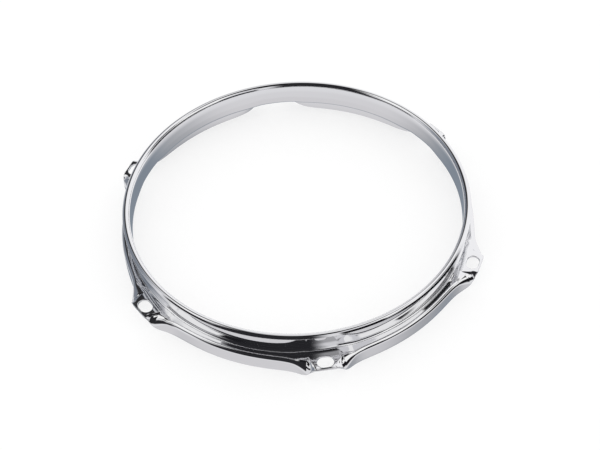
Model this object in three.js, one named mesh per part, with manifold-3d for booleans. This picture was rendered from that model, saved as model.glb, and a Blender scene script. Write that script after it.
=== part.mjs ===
// A triple-flanged drum hoop of the 12 inch class: a strip of steel sheet rolled to a ring, with an
// outward lip, a plain neck, a ledge that bears on the drumhead, a skirt, six pierced ears and a butt weld.
// Millimetres, +Z up. The origin is the hoop's centre, on the plane that the skirt's lower edge stands on.
import * as THREE from 'three';
import { mergeVertices } from 'three/addons/utils/BufferGeometryUtils.js';
import Module from 'manifold-3d';

const wasm = await Module();
wasm.setup();

// Driving dimensions of the whole hoop; heights of flanges are those of the sheet's middle
const earCount = 6;
const sheet = 2;
const neckBore = 306.7;
const hoopHeight = 40;
const ledgeHeight = 15.2;
const ledgeRise = 1.2;
const plateHeight = 15.8;

// How far the lip, the skirt's outer face and an ear's front stand out from the bore
const lipReach = 6.9;
const ledgeReach = 10.55;
const earReach = 23.85;

// Lip: radii of the sheet's middle, how far its edge turns down past level, as a share of a right angle, and
// the length of the flank that slopes down to the free edge
const lipBend = 2.7;
const lipCurl = 1.2;
const lipDroopShare = 0.56;
const lipFlank = 2;

// Length of sheet that each bend takes on either side of its corner, which is wider on the fold beside an ear
const neckBend = 3.6;
const pressBend = 2;
const foldBend = 2.8;
const earFoldBend = 9;

// Longest of those lengths, as shares of the straights beside a corner: end, inner and pressed ones
const endRunShare = 0.9;
const innerRunShare = 0.75;
const pressRunShare = 0.2;

// Ear plan: half widths measured along the circle of the holes
const flankHalf = 20.7;
const flankRise = 0.5;
const flankPower = 4;
const plateFrontHalf = 9.5;
const plateTaperShare = 0.3;
const plateMargin = 3.8;
const pressInset = 8.5;
const frontLand = 2;
const frontDroop = 0.3;

// Skirt's lower edge, where it climbs to the ear
const climbStart = 8.5;
const climbHalf = 7;
const climbPower = 2.3;
const climbLand = 0.3;

// Stretches of arc, from the ear's centre, over which one form turns into the next
const skirtGrowth = [8.5, 16];
const landFade = [13, 18];
const foldFade = [20, 36];
const pressFade = [20, 28];
const neckFall = [12, 34];
const earHalf = 28.5;

// Ear hole: an oblong for the tension rod, long way round the hoop
const holeLength = 14.6;
const holeWidth = 11;
const holeSetback = 7.6;
const overrun = 1;

// Butt weld, ground flush, halfway between the last ear and the first
const weldWidth = 2.5;

// Clearance left between neighbouring solids, and where the rim and the ledge end
const kerf = 0.3;
const neckStub = 8;
const ledgeStop = 3.2;

// Facets
const rimSteps = 108;
const earSteps = 28;
const spanSteps = 12;
const weldSteps = 2;
const lipSteps = 3;
const curlSteps = 3;
const bendSteps = 3;
const pressSteps = 1;
const holeSteps = 8;
const derivativeStep = 1e-4;

// Places worked out from the dimensions
const turn = 2 * Math.PI;
const pitch = turn / earCount;
const halfSheet = sheet / 2;
const boreRadius = neckBore / 2;
const neckMiddle = boreRadius + halfSheet;
const skirtMiddle = boreRadius + ledgeReach - halfSheet;
const earFront = boreRadius + earReach;
const holeCircle = earFront - holeSetback;
const neckCut = ledgeHeight + neckStub;
const seam = -pitch / 2;
const weldHalfAngle = weldWidth / 2 / neckMiddle;
const earHalfAngle = earHalf / holeCircle;
const kerfAngle = kerf / neckMiddle;

// 0 below the first arc, 1 above the second, and a smooth step between them
function ease(arc, [from, to]) {
  return THREE.MathUtils.smoothstep(arc, from, to);
}

// Arc from the centre of the nearest ear, along the circle of the holes
function arcFromEar(angle) {
  return Math.abs(angle - pitch * Math.round(angle / pitch)) * holeCircle;
}

// Radius of the skirt and of the ear's outline: a bell over each ear, cut straight at the ear's front
function outlineRadius(arc) {
  const bell = 1 / (1 + (arc / flankHalf) ** flankPower);
  const straight = earFront / Math.cos(arc / holeCircle);
  return Math.min(skirtMiddle + (earFront + flankRise - skirtMiddle) * bell, straight);
}

// Height of the outline's lower edge: on the ground between the ears, at the plate's height on an ear
function edgeHeight(arc) {
  const climb = Math.max(0, arc - climbStart) / climbHalf;
  return Math.max(0, (plateHeight - frontDroop + climbLand) / (1 + climb ** climbPower) - climbLand);
}

// Radius of the pressed line beside the plate, whose half width grows evenly towards the neck
function pressLine(arc) {
  const halfWidth = plateFrontHalf + earFront * plateTaperShare;
  return halfWidth / (Math.sin(arc / holeCircle) + plateTaperShare);
}

// Corners of the sheet's middle in the radial plane at one angle: x is the radius, y the height
function corners(angle) {
  const { lerp, clamp } = THREE.MathUtils;
  const arc = arcFromEar(angle);
  const edge = new THREE.Vector2(outlineRadius(arc), edgeHeight(arc));
  const fold = new THREE.Vector2();
  fold.x = edge.x - frontLand * (1 - ease(arc, landFade));
  fold.y = lerp(edge.y + frontDroop, ledgeHeight, ease(arc, skirtGrowth));
  const footHeight = lerp(plateHeight, ledgeHeight - ledgeRise, ease(arc, neckFall));
  const foot = new THREE.Vector2(neckMiddle, footHeight);
  const press = new THREE.Vector2();
  press.x = clamp(pressLine(arc), foot.x + pressInset, fold.x - plateMargin);
  const onLedge = lerp(foot.y, fold.y, (press.x - foot.x) / (fold.x - foot.x));
  press.y = lerp(plateHeight, onLedge, ease(arc, pressFade));
  const ledge = foot.clone().sub(fold);
  return {
    cut: new THREE.Vector2(neckMiddle, neckCut),
    stub: new THREE.Vector2(neckMiddle, neckCut - kerf),
    foot,
    press,
    ledgeEnd: fold.clone().add(ledge.setLength(ledgeStop + kerf)),
    skirtStart: fold.clone().add(ledge.setLength(ledgeStop)),
    fold,
    edge,
    foldRun: lerp(earFoldBend, foldBend, ease(arc, foldFade)),
  };
}

// Places and headings along a polyline whose inner corners are rounded to circular arcs. Each bend has its
// run, the longest shares of the straights before and after it that the run may take, and its steps.
function roundedLine(points, bends) {
  const ends = [points[0], points.at(-1)];
  const headings = [points[1].clone().sub(ends[0]), ends[1].clone().sub(points.at(-2))];
  const line = [{ place: ends[0], heading: headings[0].normalize() }];
  bends.forEach(({ longest, shares, steps }, i) => {
    const [from, corner, to] = points.slice(i, i + 3);
    const run = Math.min(longest, corner.distanceTo(from) * shares[0], corner.distanceTo(to) * shares[1]);
    const into = corner.clone().sub(from).setLength(run);
    const out = to.clone().sub(corner).setLength(run);
    const start = corner.clone().sub(into);
    const weight = into.clone().add(out).length() / (2 * run);
    for (let k = 0; k <= steps; k += 1) {
      const t = k / steps;
      const [a, b, c] = [(1 - t) ** 2, 2 * weight * t * (1 - t), t ** 2];
      const place = into.clone().multiplyScalar((b + c) / (a + b + c));
      place.addScaledVector(out, c / (a + b + c)).add(start);
      const heading = into.clone().multiplyScalar(weight * a + t * (1 - t));
      heading.addScaledVector(out, weight * c + t * (1 - t)).normalize();
      line.push({ place, heading });
    }
  });
  return [...line, { place: ends[1], heading: headings[1].normalize() }];
}

// Lip in the radial plane, from its free edge inwards and down to the neck: a sloping flank, a curl up to
// level and a bend of a right angle
function lipLine() {
  const droop = lipDroopShare * (Math.PI / 2);
  const level = hoopHeight - halfSheet;
  const bendX = neckMiddle + lipBend;
  const flank = new THREE.Vector2(Math.cos(droop), -Math.sin(droop)).multiplyScalar(lipFlank);
  const curlX = boreRadius + lipReach - (lipCurl + halfSheet) * Math.sin(droop) - flank.x;
  const arcRow = (centreX, radius, angle) => ({
    place: new THREE.Vector2(centreX + radius * Math.sin(angle), level - radius * (1 - Math.cos(angle))),
    heading: new THREE.Vector2(-Math.cos(angle), Math.sin(angle)),
  });
  const curl = Array.from({ length: curlSteps + 1 }, (_, k) => {
    return arcRow(curlX, lipCurl, droop * (1 - k / curlSteps));
  });
  const bend = Array.from({ length: lipSteps + 1 }, (_, k) => {
    return arcRow(bendX, lipBend, (-Math.PI / 2) * (k / lipSteps));
  });
  const freeEdge = { place: curl[0].place.clone().add(flank), heading: curl[0].heading };
  return [freeEdge, ...curl, ...bend];
}

// Bends at the neck's foot, on the pressed line and at the fold
function neckTurn() {
  return { longest: neckBend, shares: [endRunShare, innerRunShare], steps: bendSteps };
}

function pressTurn() {
  return { longest: pressBend, shares: [pressRunShare, pressRunShare], steps: pressSteps };
}

function foldTurn(at, shareBefore = innerRunShare) {
  return { longest: at.foldRun, shares: [shareBefore, endRunShare], steps: bendSteps };
}

// Middle lines of the rim, a ledge, a skirt, an ear and the whole sheet in the radial plane at one angle
function rimLine(angle) {
  return [...lipLine(), { place: corners(angle).cut, heading: new THREE.Vector2(0, -1) }];
}

function ledgeLine(angle) {
  const at = corners(angle);
  return roundedLine([at.stub, at.foot, at.ledgeEnd], [neckTurn()]);
}

function skirtLine(angle) {
  const at = corners(angle);
  return roundedLine([at.skirtStart, at.fold, at.edge], [foldTurn(at, endRunShare)]);
}

function earLine(angle) {
  const at = corners(angle);
  return roundedLine([at.stub, at.foot, at.press, at.fold, at.edge], [neckTurn(), pressTurn(), foldTurn(at)]);
}

function sheetLine(angle) {
  const at = corners(angle);
  return [...lipLine(), ...roundedLine([at.cut, at.foot, at.fold, at.edge], [neckTurn(), foldTurn(at)])];
}

// A place or heading of the radial plane at an angle, in space
function inSpace({ x, y }, angle) {
  return new THREE.Vector3(x * Math.cos(angle), x * Math.sin(angle), y);
}

// Sheet between two angles: the middle line is carried round, thickened square to its surface and closed
function sheetSolid(lineAt, from, to, steps) {
  const positions = [];
  const index = [];
  const rows = lineAt(from).length;
  const loop = 2 * rows;
  for (let i = 0; i <= steps; i += 1) {
    const angle = THREE.MathUtils.lerp(from, to, i / steps);
    const before = lineAt(angle - derivativeStep);
    const after = lineAt(angle + derivativeStep);
    const outerFace = [];
    lineAt(angle).forEach(({ place, heading }, j) => {
      const around = inSpace(after[j].place, angle + derivativeStep);
      around.sub(inSpace(before[j].place, angle - derivativeStep));
      const outwards = inSpace(heading, angle).cross(around).normalize();
      const middle = inSpace(place, angle);
      positions.push(...middle.clone().addScaledVector(outwards, -halfSheet));
      outerFace.unshift(middle.addScaledVector(outwards, halfSheet));
    });
    outerFace.forEach((corner) => positions.push(...corner));
  }
  const quad = (a, b, c, d) => index.push(a, b, c, a, c, d);
  for (let i = 0; i < steps; i += 1) {
    for (let l = 0; l < loop; l += 1) {
      const next = (l + 1) % loop;
      quad(i * loop + l, (i + 1) * loop + l, (i + 1) * loop + next, i * loop + next);
    }
  }
  const end = steps * loop;
  for (let j = 0; j < rows - 1; j += 1) {
    quad(j, j + 1, loop - 2 - j, loop - 1 - j);
    quad(end + loop - 1 - j, end + loop - 2 - j, end + j + 1, end + j);
  }
  const geometry = new THREE.BufferGeometry();
  geometry.setAttribute('position', new THREE.Float32BufferAttribute(positions, 3));
  geometry.setIndex(index);
  return geometry;
}

// Closed geometry as a manifold body
function body(geometry) {
  const vertProperties = Float32Array.from(geometry.attributes.position.array);
  const triVerts = Uint32Array.from(geometry.index.array);
  const mesh = new wasm.Mesh({ numProp: 3, vertProperties, triVerts });
  mesh.merge();
  return new wasm.Manifold(mesh);
}

// Oblong punch through an ear's plate
function punch() {
  const radius = holeWidth / 2;
  const half = holeLength / 2 - radius;
  const depth = sheet + 2 * overrun;
  const shape = new THREE.Shape();
  shape.absarc(holeCircle, half, radius, 0, Math.PI);
  shape.absarc(holeCircle, -half, radius, Math.PI, turn);
  const extruded = new THREE.ExtrudeGeometry(shape, { depth, bevelEnabled: false, curveSegments: holeSteps });
  extruded.translate(0, 0, plateHeight - depth / 2);
  extruded.deleteAttribute('normal');
  extruded.deleteAttribute('uv');
  return mergeVertices(extruded);
}

// Ear at angle 0, with its hole
function earSolid() {
  const blank = body(sheetSolid(earLine, -earHalfAngle, earHalfAngle, earSteps));
  const { vertProperties, triVerts } = blank.subtract(body(punch())).getMesh();
  const geometry = new THREE.BufferGeometry();
  geometry.setAttribute('position', new THREE.Float32BufferAttribute(vertProperties, 3));
  geometry.setIndex([...triVerts]);
  return geometry;
}

const hoop = new THREE.Group();

// One named piece, turned round the hoop's axis
function add(name, geometry, angle = 0) {
  const chrome = new THREE.MeshStandardMaterial({ color: 0xd9dbde, roughness: 0.08, metalness: 1 });
  const mesh = new THREE.Mesh(geometry, chrome);
  mesh.name = name;
  mesh.rotation.z = angle;
  mesh.updateMatrixWorld();
  hoop.add(mesh);
}

// Rim and butt weld: the strip starts on one side of the weld and ends on the other
const stripStart = seam + weldHalfAngle + kerfAngle;
const stripEnd = seam + turn - weldHalfAngle - kerfAngle;
add('rolled_rim', sheetSolid(rimLine, stripStart, stripEnd, rimSteps));
add('butt_weld', sheetSolid(sheetLine, seam - weldHalfAngle, seam + weldHalfAngle, weldSteps));

// Ears, and the ledges and skirts that run from the weld to an ear, from ear to ear and back to the weld
const ear = earSolid();
const clearOfEar = earHalfAngle + kerfAngle;
for (let i = 0; i <= earCount; i += 1) {
  const isFirst = i === 0;
  const isLast = i === earCount;
  const from = isFirst ? stripStart : pitch * (i - 1) + clearOfEar;
  const to = isLast ? stripEnd : pitch * i - clearOfEar;
  const steps = isFirst || isLast ? spanSteps / 2 : spanSteps;
  add(`ledge_${i + 1}`, sheetSolid(ledgeLine, from, to, steps));
  add(`skirt_${i + 1}`, sheetSolid(skirtLine, from, to, steps));
  if (!isLast) add(`ear_${i + 1}`, ear.clone(), pitch * i);
}

export default hoop;
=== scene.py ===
"""A chrome-plated drum hoop of the 12 inch class, in metres: a rolled strip with six pressed ears, and its
butt weld."""

import math

import bpy
import numpy as np
from mathutils import Matrix, Vector


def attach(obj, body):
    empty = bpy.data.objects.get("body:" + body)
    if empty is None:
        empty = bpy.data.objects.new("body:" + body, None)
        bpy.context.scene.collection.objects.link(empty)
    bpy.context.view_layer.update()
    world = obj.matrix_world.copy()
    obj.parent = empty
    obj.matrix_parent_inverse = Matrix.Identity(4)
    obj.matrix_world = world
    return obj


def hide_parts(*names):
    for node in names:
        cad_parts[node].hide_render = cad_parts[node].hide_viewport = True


bl_info = {
    "name": "Drum hoop",
    "version": (1, 0, 0),
    "blender": (4, 5, 0),
    "location": "View3D > Sidebar > Hoop",
    "description": "Builds a chrome-plated, triple-flanged drum hoop and a stage to show it on",
    "category": "Object",
}


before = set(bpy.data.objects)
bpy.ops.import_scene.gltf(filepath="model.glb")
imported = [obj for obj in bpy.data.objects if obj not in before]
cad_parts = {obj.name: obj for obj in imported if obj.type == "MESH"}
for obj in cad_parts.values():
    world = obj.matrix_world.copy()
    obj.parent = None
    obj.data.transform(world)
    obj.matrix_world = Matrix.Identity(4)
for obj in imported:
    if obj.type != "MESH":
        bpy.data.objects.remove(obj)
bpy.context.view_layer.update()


def linear(text):
    """A hex colour in sRGB as linear red, green, blue and alpha."""
    values = [int(text[i : i + 2], 16) / 255 for i in (1, 3, 5)]
    return (*[v / 12.92 if v <= 0.04045 else ((v + 0.055) / 1.055) ** 2.4 for v in values], 1.0)


def length(name, default, description):
    return bpy.props.FloatProperty(
        name=name, description=description, default=default, unit="LENGTH", precision=5
    )


def share(name, default, description):
    return bpy.props.FloatProperty(name=name, description=description, default=default, precision=3)


def number(name, default, description):
    return bpy.props.IntProperty(name=name, description=description, default=default, min=1)


def angle(name, degrees, description):
    return bpy.props.FloatProperty(
        name=name, description=description, default=math.radians(degrees), unit="ROTATION"
    )


def colour(name, text, description):
    return bpy.props.FloatVectorProperty(
        name=name, description=description, default=linear(text), subtype="COLOR", size=4, min=0, max=1
    )


# Settings


class HoopShape(bpy.types.PropertyGroup):
    """Sizes of the pressed strip. Heights of flanges are those of the sheet's middle, and arcs run along
    the circle of the ear holes, from an ear's middle."""

    ears: number("Ears", 6, "Ears pressed out of the strip, evenly round the hoop")
    sheet: length("Sheet", 0.002, "Thickness of the steel")
    bore: length("Neck bore", 0.3067, "Inside diameter of the neck")
    height: length("Height", 0.04, "From the skirt's lower edge to the top of the lip")
    ledge_height: length("Ledge height at the fold", 0.0152, "Height where the ledge folds down to the skirt")
    ledge_rise: length("Ledge rise", 0.0012, "How much the ledge rises outwards, halfway between two ears")
    plate_height: length("Plate height", 0.0158, "Height of the flat plate that carries the ear's hole")
    ledge_reach: length("Ledge reach", 0.01055, "From the bore to the skirt's outer face")
    ear_reach: length("Ear reach", 0.02385, "From the bore to the ear's straight front")
    lip_reach: length("Lip reach", 0.0069, "From the bore to the lip's outermost point")
    lip_bend: length("Lip bend radius", 0.0027, "Radius of the bend from the neck to the lip")
    lip_curl: length("Lip curl radius", 0.0012, "Radius at which the lip turns down to its flank")
    lip_droop: share("Lip droop", 0.56, "Slope of the lip's flank, as a share of a right angle")
    lip_flank: length("Lip flank", 0.002, "Length of the straight flank that ends in the lip's free edge")
    neck_bend: length("Neck bend run", 0.0036, "Sheet that the bend at the neck's foot takes on each side")
    press_bend: length("Press line run", 0.002, "Sheet that the pressed line takes on each side")
    fold_bend: length("Fold run", 0.0028, "Sheet that the fold between ledge and skirt takes on each side")
    ear_fold_bend: length("Fold run beside an ear", 0.009, "The same beside an ear, where the fold opens out")
    fold_from: length("Fold run eases from arc", 0.02, "Where the fold starts to tighten")
    fold_to: length("Fold run eases to arc", 0.036, "Where the fold reaches its own run")
    end_run: share("Longest run on an end straight", 0.9, "Share of it that a bend may take")
    inner_run: share("Longest run on an inner straight", 0.75, "Share of it that a bend may take")
    press_run: share("Longest run of the press line", 0.2, "Share of a straight that it may take")
    flank_half: length("Ear flank half width", 0.0207, "Arc at which the ear's outline has fallen halfway")
    flank_rise: length("Ear flank rise", 0.0005, "How far the outline's bell stands past the ear's front")
    flank_power: share("Ear flank power", 4.0, "How steeply the ear's outline falls")
    corner_blend: length("Ear corner blend", 0.0002, "Softness of the corner between front and flank")
    plate_front: length("Plate half width", 0.0095, "Half width of the plate at the ear's front")
    plate_taper: share("Plate taper", 0.3, "How much the plate widens on each side towards the neck")
    plate_margin: length("Press line margin", 0.0038, "Least distance of the pressed line from the fold")
    press_inset: length("Press line inset", 0.0085, "Least distance of the pressed line from the neck")
    front_land: length("Front land", 0.002, "Depth of the ear's front edge, which droops a little")
    front_droop: length("Front droop", 0.0003, "How far the ear's front edge droops")
    climb_start: length("Climb start", 0.0085, "Arc at which the lower edge leaves the ear's front")
    climb_half: length("Climb half", 0.007, "Arc from there over which the lower edge falls halfway")
    climb_power: share("Climb power", 2.3, "How steeply the lower edge falls")
    climb_land: length("Climb landing", 0.0003, "How far below the ground the fall would end if it went on")
    skirt_from: length("Skirt grows from arc", 0.0085, "Where the skirt starts to grow beside the ear")
    skirt_to: length("Skirt grows to arc", 0.016, "Where the fold reaches the ledge's height")
    land_from: length("Land fades from arc", 0.013, "Where the front land starts to fade")
    land_to: length("Land fades to arc", 0.018, "Where the front land has gone")
    press_from: length("Press line fades from arc", 0.02, "Where the pressed line starts to fade")
    press_to: length("Press line fades to arc", 0.028, "Where the pressed line lies level with the ledge")
    neck_from: length("Neck foot falls from arc", 0.012, "Where the neck's foot starts to fall")
    neck_to: length("Neck foot falls to arc", 0.034, "Where the neck's foot reaches its own height")
    hole_length: length("Hole length", 0.0146, "Length of the oblong hole, round the hoop")
    hole_width: length("Hole width", 0.011, "Width of the oblong hole, across the hoop")
    hole_setback: length("Hole setback", 0.0076, "From the ear's front to the hole's middle")
    edge_round: length("Edge rounding", 0.0004, "Radius left on cut edges by tumbling and plating")
    weld_width: length("Weld width", 0.0025, "Width of the ground butt weld")


class HoopMesh(bpy.types.PropertyGroup):
    """Numbers of rows and columns in the strip's surface, and where the column spacing changes."""

    flank_rows: number("Lip flank rows", 2, "Rows on the lip's flank")
    curl_rows: number("Curl rows", 5, "Rows on the lip's curl")
    flange_rows: number("Flange rows", 1, "Rows on the lip's flange")
    lip_rows: number("Lip rows", 10, "Rows on the lip's bend")
    neck_rows: number("Neck rows", 3, "Rows on the neck")
    bend_rows: number("Bend rows", 8, "Rows on the neck's foot and on the fold")
    ledge_rows: number("Ledge rows", 5, "Rows on the ledge outside the pressed line")
    press_rows: number("Press line rows", 4, "Rows on the pressed line")
    skirt_rows: number("Skirt rows", 4, "Rows on the skirt")
    edge_rows: number("Edge rows", 3, "Rows on an edge's rounding")
    plate_columns: number("Plate columns", 12, "Columns on half a plate")
    flank_columns: number("Flank columns", 32, "Columns on a flank")
    span_columns: number("Span columns", 16, "Columns on half a span")
    weld_columns: number("Weld columns", 9, "Columns across the weld")
    hole_loops: number("Hole loops", 3, "Loops round a hole")
    plate_arc: length("Plate arc", 0.0082, "Arc at which the plate's columns end")
    flank_arc: length("Flank arc", 0.027, "Arc at which the flank's columns end")
    block_margin: length("Hole margin", 0.0009, "Plate left round a hole in the square that it is pierced in")


class HoopFinish(bpy.types.PropertyGroup):
    """The plating."""

    plate_colour: colour("Plate", "#f0f0f1", "Reflection colour of bright chrome over nickel")
    plate_roughness: share("Plate roughness", 0.035, "Blur of the polished strip")
    plate_ripple: share("Plate ripple", 0.02, "Strength of the strip's polishing ripple")
    weld_roughness: share("Weld roughness", 0.045, "Blur where the weld was ground before plating")
    weld_ripple: share("Weld ripple", 0.02, "Strength of the ripple over the weld")
    ripple_length: length("Ripple length", 0.022, "Distance between the ripple's waves")
    ripple_height: length("Ripple height", 0.001, "Height that the ripple's full strength stands for")


class StageSettings(bpy.types.PropertyGroup):
    """Camera, floor and light."""

    azimuth: angle("Camera azimuth", 23.863, "Turn of the camera about the hoop's axis")
    elevation: angle("Camera elevation", 48.54, "How far down the camera looks")
    roll: angle("Camera roll", -2.784, "Turn of the camera about its own line of sight")
    distance: length("Camera distance", 1.10275, "From the camera to the middle of the lip")
    shift_right: length("Camera shift right", 0.00345, "Sideways step that frames the hoop")
    shift_up: length("Camera shift up", -0.02584, "Upward step that frames the hoop")
    lens: share("Lens", 72.0, "Focal length of the lens in millimetres")
    sensor: share("Sensor", 36.0, "Width of the camera's sensor in millimetres")
    floor_radius: length("Floor radius", 30.0, "Radius of the floor")
    floor_sides: number("Floor sides", 64, "Sides of the floor's outline")
    floor_glow: share("Floor glow", 0.7, "Share of the paper that stays white in shadow")
    paper: colour("Paper", "#ffffff", "Colour of the floor")
    light: colour("Light", "#ffffff", "Colour of the even light all round")
    strength: share("Light strength", 1.1, "Strength of the even light all round")


# Form of the sheet


def ease(arc, start, end):
    """0 before start, 1 after end, and a smooth step between them."""
    t = np.clip((arc - start) / (end - start), 0, 1)
    return t * t * (3 - 2 * t)


def hole_circle(s):
    return s.bore / 2 + s.ear_reach - s.hole_setback


def arc_from_ear(s, angles):
    """Distance from the nearest ear's middle along the circle of the holes."""
    pitch = 2 * np.pi / s.ears
    return np.abs(angles - pitch * np.round(angles / pitch)) * hole_circle(s)


def outline_radius(s, arc):
    """Radius of the skirt and of the ears' outline. A bell of the given power stands over each ear, and the
    straight front of the ear cuts it off: the smaller of the two, blended at the corner."""
    skirt = s.bore / 2 + s.ledge_reach - s.sheet / 2
    front = s.bore / 2 + s.ear_reach
    bell = skirt + (front + s.flank_rise - skirt) / (1 + (arc / s.flank_half) ** s.flank_power)
    straight = front / np.cos(arc / hole_circle(s))
    return -s.corner_blend * np.logaddexp(-bell / s.corner_blend, -straight / s.corner_blend)


def edge_height(s, arc):
    """Height of the strip's lower edge: at the plate's height on an ear, falling in a bell-like slope to 0
    beside it."""
    climb = np.maximum(0, arc - s.climb_start) / s.climb_half
    top = s.plate_height - s.front_droop
    return np.maximum(0, (top + s.climb_land) / (1 + climb**s.climb_power) - s.climb_land)


def corners(s, angles):
    """Corners of the sheet's middle in the radial plane at each angle, as (radius, height): neck top, foot,
    press line, fold and lower edge."""
    arc = arc_from_ear(s, angles)
    neck = s.bore / 2 + s.sheet / 2
    edge = np.stack([outline_radius(s, arc), edge_height(s, arc)], axis=-1)
    fold_x = edge[:, 0] - s.front_land * (1 - ease(arc, s.land_from, s.land_to))
    land_y = edge[:, 1] + s.front_droop
    fold_y = land_y + (s.ledge_height - land_y) * ease(arc, s.skirt_from, s.skirt_to)
    foot_shift = s.ledge_height - s.ledge_rise - s.plate_height
    foot_y = s.plate_height + foot_shift * ease(arc, s.neck_from, s.neck_to)
    front = s.bore / 2 + s.ear_reach
    press_x = (s.plate_front + front * s.plate_taper) / (np.sin(arc / hole_circle(s)) + s.plate_taper)
    press_x = np.clip(press_x, neck + s.press_inset, fold_x - s.plate_margin)
    on_ledge = foot_y + (fold_y - foot_y) * (press_x - neck) / (fold_x - neck)
    press_y = s.plate_height + (on_ledge - s.plate_height) * ease(arc, s.press_from, s.press_to)
    flat = [(neck, s.height - s.sheet / 2 - s.lip_bend), (neck, foot_y), (press_x, press_y), (fold_x, fold_y)]
    return [np.stack(np.broadcast_arrays(x, y + 0 * arc), axis=-1) for x, y in flat] + [edge]


def unit(v):
    return v / np.linalg.norm(v, axis=-1, keepdims=True)


def lip_rows(s, m):
    """The lip in the radial plane, from its free edge inwards and down to the neck's top: a sloping flank, a
    curl up to level, a level flange and a bend of a right angle."""
    droop = s.lip_droop * np.pi / 2
    neck = s.bore / 2 + s.sheet / 2
    level = s.height - s.sheet / 2
    slope = np.array([[np.cos(droop), -np.sin(droop)]])
    curl_x = s.bore / 2 + s.lip_reach - (s.lip_curl + s.sheet / 2) * np.sin(droop) - s.lip_flank * slope[0, 0]
    a = droop * (1 - np.arange(m.curl_rows) / m.curl_rows)
    curl = np.stack([curl_x + s.lip_curl * np.sin(a), level - s.lip_curl * (1 - np.cos(a))], axis=-1)
    along = 1 - np.arange(m.flank_rows)[:, None] / m.flank_rows
    flank = curl[:1] + slope * (s.lip_flank - s.edge_round) * along
    b = np.linspace(0, np.pi / 2, m.lip_rows + 1)[:-1]
    bend_x = neck + s.lip_bend
    bend = np.stack([bend_x - s.lip_bend * np.sin(b), level - s.lip_bend * (1 - np.cos(b))], axis=-1)
    t = np.linspace(0, 1, m.flange_rows + 1)[:-1]
    flange = np.stack([curl_x + (bend_x - curl_x) * t, level + 0 * t], axis=-1)
    turn = np.concatenate([np.full(m.flank_rows, -droop), -a, 0 * t, b])
    return np.concatenate([flank, curl, flange, bend]), np.stack([-np.cos(turn), -np.sin(turn)], axis=-1)


def rounded_rows(s, points, bends, shares, bend_rows, straight_rows):
    """Places and headings along a polyline with rounded corners. Each corner is a circular arc, as a rational
    quadratic curve whose ends lie a run away from the corner; a run is the bend's own, or a share of the
    shorter straight beside it. Straights are divided evenly."""
    last = len(points) - 1
    places, headings = [], []
    start = points[0]
    for i in range(1, last + 1):
        aim = unit(points[i] - points[i - 1])
        if i < last:
            out = unit(points[i + 1] - points[i])
            before = np.linalg.norm(points[i] - points[i - 1], axis=1) * shares[i - 1][0]
            after = np.linalg.norm(points[i + 1] - points[i], axis=1) * shares[i - 1][1]
            run = np.minimum(np.minimum(before, after), bends[i - 1])[:, None]
            stop = points[i] - aim * run
        else:
            stop = points[i] - aim * s.edge_round
        t = np.linspace(0, 1, straight_rows[i - 1] + 1)[:-1, None]
        if i > 1:
            t = t[1:]
        places.append(start[:, None] + t * (stop - start)[:, None])
        headings.append(np.broadcast_to(aim[:, None], places[-1].shape))
        if i < last:
            w = np.linalg.norm(aim + out, axis=1)[:, None, None] / 2
            t = np.linspace(0, 1, bend_rows[i - 1] + 1)[:, None]
            a, b, c = (1 - t) ** 2, 2 * w * t * (1 - t), t**2
            turned = run[:, None] * ((b + c) * aim[:, None] + c * out[:, None])
            places.append(stop[:, None] + turned / (a + b + c))
            headings.append(unit((w * a + t * (1 - t)) * aim[:, None] + (w * c + t * (1 - t)) * out[:, None]))
            start = points[i] + out * run
    places.append(stop[:, None])
    headings.append(aim[:, None])
    return np.concatenate(places, axis=1), np.concatenate(headings, axis=1)


def middle_rows(s, m, angles):
    """The sheet's middle line in the radial plane at each angle, from the lip's edge to the lower edge."""
    lip = [np.broadcast_to(rows, (len(angles), *rows.shape)) for rows in lip_rows(s, m)]
    span = ease(arc_from_ear(s, angles), s.fold_from, s.fold_to)
    bends = [s.neck_bend, s.press_bend, s.ear_fold_bend + (s.fold_bend - s.ear_fold_bend) * span]
    shares = [(s.end_run, s.inner_run), (s.press_run, s.press_run), (s.inner_run, s.end_run)]
    bend_rows = [m.bend_rows, m.press_rows, m.bend_rows]
    straight_rows = [m.neck_rows, 2 * m.ledge_rows, m.ledge_rows, m.skirt_rows]
    flange = rounded_rows(s, corners(s, angles), bends, shares, bend_rows, straight_rows)
    return np.concatenate([lip[0], flange[0]], axis=1), np.concatenate([lip[1], flange[1]], axis=1)


def in_space(radial, angles):
    """Turns (radius, height) rows at each angle into x, y, z."""
    r, z = radial[..., 0], radial[..., 1]
    return np.stack([r * np.cos(angles)[:, None], r * np.sin(angles)[:, None], z], axis=-1)


def sheet_loops(s, m, angles):
    """Closed loops of surface points at each angle. The middle line is thickened square to its surface, and
    both cut edges are rounded by quarter circles that stand out along the surface."""
    step = 1e-6
    radial, heading = middle_rows(s, m, angles)
    ahead, behind = (in_space(middle_rows(s, m, angles + d)[0], angles + d) for d in (step, -step))
    around = unit(ahead - behind)
    middle = in_space(radial, angles)
    normal = unit(np.cross(in_space(heading, angles), around))
    half, r = s.sheet / 2, s.edge_round
    inner, outer = middle - half * normal, middle + half * normal
    a = np.arange(1, m.edge_rows + 1) / m.edge_rows * np.pi / 2
    out = r * np.concatenate([np.sin(a), np.sin(a)[::-1]])[:, None]
    across = np.concatenate([-(half - r + r * np.cos(a)), (half - r + r * np.cos(a))[::-1]])[:, None]

    def edge(row, side):
        square = unit(np.cross(around[:, row], normal[:, row])) * side
        return middle[:, row, None] + out * square[:, None] + side * across * normal[:, row, None]

    low = edge(-1, 1)
    lip = edge(0, -1)
    return np.concatenate([inner, low, outer[:, ::-1], lip], axis=1), inner.shape[1]


def grid_quads(columns, loop):
    """Quads between neighbouring columns of loops, columns being first indices."""
    i = np.arange(columns - 1)[:, None] * loop
    j = np.arange(loop)[None, :]
    n = (j + 1) % loop
    return np.stack([i + j, i + loop + j, i + loop + n, i + n], axis=-1)


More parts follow.
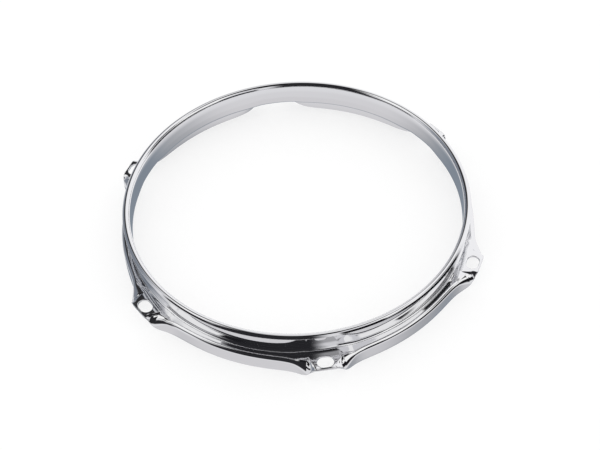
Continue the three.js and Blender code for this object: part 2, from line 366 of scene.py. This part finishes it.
def cap_quads(rows, edge_points, base, is_start):
    """Quads that close one end of a strip: each pair of facing points of its loop is joined to the next pair,
    from the middle of the lip's edge to the middle of the lower edge."""
    half, tail = edge_points // 2, 2 * rows + edge_points
    lip, face = np.arange(half), np.arange(rows + half)
    inner = np.concatenate([tail + half + lip, face]) + base
    outer = np.concatenate([tail + half - 1 - lip, tail - 1 - face]) + base
    quads = np.stack([inner[:-1], inner[1:], outer[1:], outer[:-1]], axis=-1)
    return quads if is_start else quads[:, ::-1]


def end_caps(m, rows, columns, loop):
    """The caps at both ends of a strip, its first column's and its last one's."""
    ends = ((0, True), ((columns - 1) * loop, False))
    return [cap_quads(rows, 2 * m.edge_rows, base, is_start) for base, is_start in ends]


def set_mesh(name, vertices, quads, caps):
    """A mesh of smooth quads and flat caps with sharp borders, with unused vertices left out."""
    smooth, quads = len(quads), np.concatenate([quads, *caps])
    used, inverse = np.unique(quads, return_inverse=True)
    quads = inverse.reshape(quads.shape)
    mesh = bpy.data.meshes.new(name)
    mesh.vertices.add(len(used))
    mesh.vertices.foreach_set("co", vertices[used].astype(np.float32).ravel())
    mesh.loops.add(quads.size)
    mesh.loops.foreach_set("vertex_index", quads.ravel().astype(np.int32))
    mesh.polygons.add(len(quads))
    mesh.polygons.foreach_set("loop_start", np.arange(0, quads.size, 4, dtype=np.int32))
    mesh.polygons.foreach_set("use_smooth", np.arange(len(quads)) < smooth)
    mesh.update(calc_edges=True)
    if mesh.validate(verbose=True):
        raise RuntimeError(f"{name} has faces that are not valid")
    edges = np.empty(quads.size, dtype=np.int32)
    mesh.loops.foreach_get("edge_index", edges)
    sharp = np.zeros(len(mesh.edges), dtype=bool)
    sharp[edges[4 * smooth :]] = True
    mesh.edges.foreach_set("use_edge_sharp", sharp)
    piece = bpy.data.objects.new(name, mesh)
    bpy.context.scene.collection.objects.link(piece)
    return piece


def oblong(direction, half_straight, radius):
    """Where a ray from an oblong's centre leaves it: through a straight side if it passes within the
    straight's half length, otherwise through the round end."""
    c, d = np.abs(direction[:, 0]), np.abs(direction[:, 1])
    nearly_zero = 1e-9
    through_side = c * radius <= half_straight * d
    side = radius / np.maximum(d, nearly_zero)
    end = half_straight * c + np.sqrt(np.maximum(0, radius**2 - (half_straight * d) ** 2))
    return direction * np.where(through_side, side, end)[:, None]


def column_angles(s, m):
    """Angles of the strip's columns, close together on the ears' flanks. The strip starts and ends beside
    the weld, halfway between two ears."""
    circle = hole_circle(s)
    half_span = np.pi / s.ears * circle
    right = np.concatenate(
        [
            np.linspace(0, m.plate_arc, m.plate_columns + 1)[:-1],
            np.linspace(m.plate_arc, m.flank_arc, m.flank_columns + 1)[:-1],
            np.linspace(m.flank_arc, half_span, m.span_columns + 1),
        ]
    )
    one = np.concatenate([-right[:0:-1], right]) / circle
    pitch = 2 * np.pi / s.ears
    angles = np.concatenate([one[:-1] + pitch * k for k in range(s.ears)] + [[pitch * (s.ears - 0.5)]])
    half_weld = s.weld_width / (s.bore + s.sheet)
    angles[0] += half_weld
    angles[-1] -= half_weld
    return angles, len(right) - 1


class HOOP_OT_strip(bpy.types.Operator):
    """Add the pressed strip with its pierced ears"""

    bl_idname = "hoop.strip"
    bl_label = "Strip"

    def execute(self, context):
        s, m = context.scene.hoop_shape, context.scene.hoop_mesh
        angles, half_columns = column_angles(s, m)
        loops, rows = sheet_loops(s, m, angles)
        columns, loop = loops.shape[:2]
        quads = grid_quads(columns, loop)
        vertices = loops.reshape(-1, 3)
        keep = np.ones(quads.shape[:2], dtype=bool)
        extra = []
        for k in range(s.ears):
            patch = self.pierce(s, m, k, half_columns, rows, loops, keep, len(vertices))
            vertices = np.concatenate([vertices, patch[0]])
            extra.append(patch[1])
        quads = np.concatenate([quads[keep], *extra])
        piece = set_mesh("hoop_strip", vertices, quads, end_caps(m, rows, columns, loop))
        piece.data.materials.append(bpy.data.materials["polished chrome"])
        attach(piece, "root")
        spans = [f"{name}_{i + 1}" for name in ("ledge", "skirt") for i in range(s.ears + 1)]
        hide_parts("rolled_rim", *spans, *[f"ear_{i + 1}" for i in range(s.ears)])
        return {"FINISHED"}

    def pierce(self, s, m, k, half_columns, rows, loops, keep, base):
        """Opens a block of the grid on both faces of ear k's plate, and joins the two openings by loops that
        shrink to the oblong, round its punched edges and run through the hole."""
        loop = loops.shape[1]
        mid = half_columns * (2 * k + 1)
        i0, i1 = mid - m.plate_columns, mid + m.plate_columns
        angle = 2 * np.pi / s.ears * k
        outwards = np.array([math.cos(angle), math.sin(angle)])
        tangent = np.array([-math.sin(angle), math.cos(angle)])
        centre = hole_circle(s) * outwards
        radii = np.linalg.norm(loops[mid, :rows, :2], axis=1)
        flat = np.abs(loops[mid, :rows, 2] - s.plate_height + s.sheet / 2) < s.front_droop
        room = s.hole_width / 2 + m.block_margin
        j0 = np.nonzero(flat & (radii < hole_circle(s) - room))[0].max()
        j1 = np.nonzero(flat & (radii > hole_circle(s) + room))[0].min()
        j, i = np.arange(j0, j1), np.arange(i0, i1)
        ring = np.concatenate(
            [
                np.stack([i0 + 0 * j, j], axis=1),
                np.stack([i, j1 + 0 * i], axis=1),
                np.stack([i1 + 0 * j, j[::-1] + 1], axis=1),
                np.stack([i[::-1] + 1, j0 + 0 * i], axis=1),
            ]
        )
        last = 2 * rows + 2 * m.edge_rows - 1
        keep[i0:i1, j0:j1] = False
        keep[i0:i1, last - j1 : last - j0] = False
        bottom = ring[:, 0] * loop + ring[:, 1]
        top = ring[:, 0] * loop + last - ring[:, 1]
        flat_ring = loops[ring[:, 0], ring[:, 1], :2] - centre
        local = np.stack([flat_ring @ tangent, flat_ring @ outwards], axis=1)
        aim = unit(local)
        half, r = s.sheet / 2, s.edge_round
        straight = (s.hole_length - s.hole_width) / 2

        def wall(grow, height):
            return oblong(aim, straight, s.hole_width / 2 + grow), height

        a = np.arange(m.edge_rows + 1) / m.edge_rows * np.pi / 2
        rounding = [wall(r * (1 - np.sin(t)), half - r + r * np.cos(t)) for t in a]
        start = rounding[0][0]
        shares = np.arange(1, m.hole_loops + 1) / (m.hole_loops + 1)
        falls = [loops[ring[:, 0], row, 2] - s.plate_height for row in (last - ring[:, 1], ring[:, 1])]
        shrink = [(local + (start - local) * t, half + (falls[0] - half) * (1 - t)) for t in shares]
        rise = [(local + (start - local) * t, (falls[1] + half) * (1 - t) - half) for t in shares]
        chain = shrink + rounding + [(outline, -height) for outline, height in rounding[::-1]] + rise[::-1]
        count = len(ring)
        points = []
        for outline, height in chain:
            flat_place = centre + outline[:, :1] * tangent + outline[:, 1:] * outwards
            points.append(np.column_stack([flat_place, np.full(count, s.plate_height + height)]))
        index = np.concatenate([[top], base + np.arange(len(chain) * count).reshape(-1, count), [bottom]])
        following = np.roll(index, -1, axis=1)
        quads = np.stack([index[:-1], following[:-1], following[1:], index[1:]], axis=-1).reshape(-1, 4)
        return np.concatenate(points), quads


class HOOP_OT_weld(bpy.types.Operator):
    """Add the butt weld that closes the ring"""

    bl_idname = "hoop.weld"
    bl_label = "Butt weld"

    def execute(self, context):
        s, m = context.scene.hoop_shape, context.scene.hoop_mesh
        half_weld = s.weld_width / (s.bore + s.sheet)
        seam = -np.pi / s.ears
        loops, rows = sheet_loops(s, m, seam + half_weld * np.linspace(-1, 1, m.weld_columns))
        columns, loop = loops.shape[:2]
        quads = grid_quads(columns, loop).reshape(-1, 4)
        piece = set_mesh("butt_weld_bead", loops.reshape(-1, 3), quads, end_caps(m, rows, columns, loop))
        piece.data.materials.append(bpy.data.materials["chrome over ground weld"])
        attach(piece, "root")
        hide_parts("butt_weld")
        return {"FINISHED"}


# Materials


def add_node(tree, kind, inputs=None, **settings):
    """A node with its settings and its sockets' values or links."""
    node = tree.nodes.new(kind)
    for key, value in settings.items():
        setattr(node, key, value)
    for key, value in (inputs or {}).items():
        if isinstance(value, bpy.types.NodeSocket):
            tree.links.new(value, node.inputs[key])
        else:
            node.inputs[key].default_value = value
    return node


def chrome(finish, name, roughness, ripple):
    """Bright chrome over nickel plate. It mirrors its surroundings almost sharply, and a faint long ripple
    that polishing leaves bends the reflections a little."""
    material = bpy.data.materials.new(name)
    material.use_nodes = True
    tree = material.node_tree
    tree.nodes.clear()
    place = add_node(tree, "ShaderNodeTexCoord").outputs["Object"]
    wave = add_node(
        tree, "ShaderNodeTexNoise", {"Vector": place, "Scale": 1 / finish.ripple_length, "Detail": 1.0}
    )
    bump = add_node(
        tree,
        "ShaderNodeBump",
        {"Height": wave.outputs["Fac"], "Strength": ripple, "Distance": finish.ripple_height},
    )
    surface = add_node(
        tree,
        "ShaderNodeBsdfPrincipled",
        {
            "Base Color": finish.plate_colour,
            "Metallic": 1.0,
            "Roughness": roughness,
            "Normal": bump.outputs["Normal"],
        },
    )
    add_node(tree, "ShaderNodeOutputMaterial", {"Surface": surface.outputs["BSDF"]})


class HOOP_OT_finishes(bpy.types.Operator):
    """Make the plated finishes"""

    bl_idname = "hoop.finishes"
    bl_label = "Finishes"

    def execute(self, context):
        finish = context.scene.hoop_finish
        chrome(finish, "polished chrome", finish.plate_roughness, finish.plate_ripple)
        chrome(finish, "chrome over ground weld", finish.weld_roughness, finish.weld_ripple)
        return {"FINISHED"}


# Studio that the plating mirrors. Azimuths run from the camera to its right, and all angles are in degrees.
# Later panels cover earlier ones. Most of these numbers come from a fit to the brightness of the photo's
# reflections, and were rounded since. The last panels and some ends and shades were set one by one.
STUDIO_WALL = "#1f1f22"
STUDIO_PANELS = (
    # azimuth, half width, lowest, highest, soft edge, colour
    (0, 180, -90, -35, 5, "#d7d6d9"),  # floor
    (167, 102, -90, -12, 31, "#a7a9ae"),  # grey floor behind the hoop
    (173, 65, -90, -25, 20, "#858e99"),  # bluer floor straight behind it
    (0, 180, -42, 54.4, 3, "#e4e4e7"),  # pale wall all round
    (148, 43, -37, 68, 6, "#fbfbfd"),  # white wall behind, to the right
    (58, 29, 40, 66, 1, "#dadade"),  # light panel high on the right
    (-108, 34, 41.5, 72, 3, "#ffffff"),  # white panel high on the left
    (-125, 32, -19, 48.4, 12, "#808690"),  # grey wall behind, to the left
    (-154.5, 21, 27, 60, 8, "#303032"),  # dark panel high behind, to the left
    (78.5, 21, -18, 25, 4, "#1a1a1d"),  # black panel on the right
    (96, 21, 36, 54, 1, "#242527"),  # dark panel above it
    (-22, 32, -16, 90, 6, "#2a2a2d"),  # dark camera side, up to the zenith
    (-68, 14, 42.7, 45.2, 0.5, "#ffffff"),  # thin white line on the left
    (66, 19, 25, 70, 2, "#ffffff"),  # white panel on the right
    (106, 20, 52, 61, 1.5, "#ffffff"),  # white strip high on the right
    (45, 22, -10, 21, 3, "#1a1a1d"),  # black panel low on the right
    (34, 13, -10, 32, 2, "#1a1a1d"),  # black panel beside it
    (-66, 14, 8, 30, 3, "#1f1f22"),  # dark panel low on the left
)


class HOOP_OT_stage(bpy.types.Operator):
    """Add the floor, the light and the camera"""

    bl_idname = "hoop.stage"
    bl_label = "Stage"

    def execute(self, context):
        settings = context.scene.hoop_stage
        self.camera(context, settings)
        self.floor(settings)
        self.world(context, settings)
        context.scene.view_settings.view_transform = "Standard"
        return {"FINISHED"}

    def axes(self, settings):
        """The camera's right, up and forward directions."""
        a, e, r = settings.azimuth, settings.elevation, settings.roll
        right = Vector((math.cos(a), math.sin(a), 0))
        level = Vector((-math.sin(a), math.cos(a), 0))
        forward = level * math.cos(e) - Vector((0, 0, math.sin(e)))
        up = level * math.sin(e) + Vector((0, 0, math.cos(e)))
        return right * math.cos(r) + up * math.sin(r), up * math.cos(r) - right * math.sin(r), forward

    def camera(self, context, settings):
        right, up, forward = self.axes(settings)
        data = bpy.data.cameras.new("camera")
        data.lens = settings.lens
        data.sensor_width = settings.sensor
        camera = bpy.data.objects.new("camera", data)
        context.scene.collection.objects.link(camera)
        top = Vector((0, 0, context.scene.hoop_shape.height))
        place = top - forward * settings.distance + right * settings.shift_right + up * settings.shift_up
        camera.matrix_world = Matrix.Translation(place) @ Matrix((right, up, -forward)).transposed().to_4x4()
        context.scene.camera = camera

    def floor(self, settings):
        """A plain white floor. The plating doesn't see it, but the studio's own floor in the world below."""
        sides = settings.floor_sides
        angles = np.linspace(0, 2 * np.pi, sides + 1)[:-1]
        ring = np.column_stack([np.cos(angles), np.sin(angles), 0 * angles]) * settings.floor_radius
        mesh = bpy.data.meshes.new("floor")
        mesh.from_pydata(ring.tolist(), [], [list(range(sides))])
        floor = bpy.data.objects.new("floor", mesh)
        bpy.context.scene.collection.objects.link(floor)
        material = bpy.data.materials.new("white paper")
        material.use_nodes = True
        tree = material.node_tree
        tree.nodes.clear()
        rays = add_node(tree, "ShaderNodeLightPath")
        paper = add_node(tree, "ShaderNodeBsdfDiffuse", {"Color": settings.paper})
        glow = add_node(tree, "ShaderNodeEmission", {"Color": settings.paper})
        both = {0: settings.floor_glow, 1: paper.outputs["BSDF"], 2: glow.outputs["Emission"]}
        paper = add_node(tree, "ShaderNodeMixShader", both)
        clear = add_node(tree, "ShaderNodeBsdfTransparent")
        surface = add_node(
            tree,
            "ShaderNodeMixShader",
            {0: rays.outputs["Is Glossy Ray"], 1: paper.outputs["Shader"], 2: clear.outputs["BSDF"]},
        )
        add_node(tree, "ShaderNodeOutputMaterial", {"Surface": surface.outputs["Shader"]})
        mesh.materials.append(material)

    def world(self, context, settings):
        """Even white light all round. The plating sees a studio instead: soft panels at their azimuths and
        elevations, laid over each other in order."""
        world = bpy.data.worlds.new("studio")
        world.use_nodes = True
        world.cycles.sampling_method = "NONE"
        tree = world.node_tree
        tree.nodes.clear()
        aim = add_node(tree, "ShaderNodeTexCoord").outputs["Generated"]
        height = add_node(tree, "ShaderNodeSeparateXYZ", {"Vector": aim}).outputs["Z"]
        level = add_node(tree, "ShaderNodeVectorMath", {0: aim, 1: (1, 1, 0)}, operation="MULTIPLY")
        level = add_node(tree, "ShaderNodeVectorMath", {0: level.outputs["Vector"]}, operation="NORMALIZE")
        colour = linear(STUDIO_WALL)
        for azimuth, half_width, lowest, highest, soft, shade in STUDIO_PANELS:
            edges = []
            if half_width < 180:
                turn = settings.azimuth - math.pi / 2 + math.radians(azimuth)
                facing = (math.cos(turn), math.sin(turn), 0)
                both = {0: level.outputs["Vector"], 1: facing}
                towards = add_node(tree, "ShaderNodeVectorMath", both, operation="DOT_PRODUCT")
                edges.append((towards.outputs["Value"], math.cos, half_width, soft))
            if lowest > -90:
                edges.append((height, math.sin, lowest, -soft))
            if highest < 90:
                edges.append((height, math.sin, highest, soft))
            mask = 1.0
            for value, turn, edge, fade in edges:
                ends = {
                    "Value": value,
                    "From Min": turn(math.radians(edge + fade)),
                    "From Max": turn(math.radians(edge - fade)),
                }
                inside = add_node(tree, "ShaderNodeMapRange", ends, interpolation_type="SMOOTHSTEP")
                both = {0: mask, 1: inside.outputs["Result"]}
                mask = add_node(tree, "ShaderNodeMath", both, operation="MULTIPLY").outputs["Value"]
            layer = {"Factor": mask, "A": colour, "B": linear(shade)}
            colour = add_node(tree, "ShaderNodeMix", layer, data_type="RGBA").outputs["Result"]
        rays = add_node(tree, "ShaderNodeLightPath")
        even = {"Color": settings.light, "Strength": settings.strength}
        light = add_node(tree, "ShaderNodeBackground", even)
        studio = add_node(tree, "ShaderNodeBackground", {"Color": colour})
        either = {
            0: rays.outputs["Is Glossy Ray"],
            1: light.outputs["Background"],
            2: studio.outputs["Background"],
        }
        seen = add_node(tree, "ShaderNodeMixShader", either)
        add_node(tree, "ShaderNodeOutputWorld", {"Surface": seen.outputs["Shader"]})
        context.scene.world = world


class HOOP_PT_panel(bpy.types.Panel):
    """Sizes and the buttons that build the hoop"""

    bl_label = "Drum hoop"
    bl_idname = "HOOP_PT_panel"
    bl_space_type = "VIEW_3D"
    bl_region_type = "UI"
    bl_category = "Hoop"

    def draw(self, context):
        layout = self.layout
        scene = context.scene
        for group in (scene.hoop_shape, scene.hoop_mesh, scene.hoop_finish, scene.hoop_stage):
            for name in group.__annotations__:
                layout.prop(group, name)
        for step in (HOOP_OT_finishes, HOOP_OT_strip, HOOP_OT_weld, HOOP_OT_stage):
            layout.operator(step.bl_idname)


CLASSES = (
    HoopShape,
    HoopMesh,
    HoopFinish,
    StageSettings,
    HOOP_OT_finishes,
    HOOP_OT_strip,
    HOOP_OT_weld,
    HOOP_OT_stage,
    HOOP_PT_panel,
)


def register():
    for item in CLASSES:
        bpy.utils.register_class(item)
    bpy.types.Scene.hoop_shape = bpy.props.PointerProperty(type=HoopShape)
    bpy.types.Scene.hoop_mesh = bpy.props.PointerProperty(type=HoopMesh)
    bpy.types.Scene.hoop_finish = bpy.props.PointerProperty(type=HoopFinish)
    bpy.types.Scene.hoop_stage = bpy.props.PointerProperty(type=StageSettings)


def unregister():
    del bpy.types.Scene.hoop_stage
    del bpy.types.Scene.hoop_finish
    del bpy.types.Scene.hoop_mesh
    del bpy.types.Scene.hoop_shape
    for item in reversed(CLASSES):
        bpy.utils.unregister_class(item)


def main():
    register()
    bpy.ops.hoop.finishes()
    bpy.ops.hoop.strip()
    bpy.ops.hoop.weld()
    bpy.ops.hoop.stage()


if __name__ == "__main__":
    main()
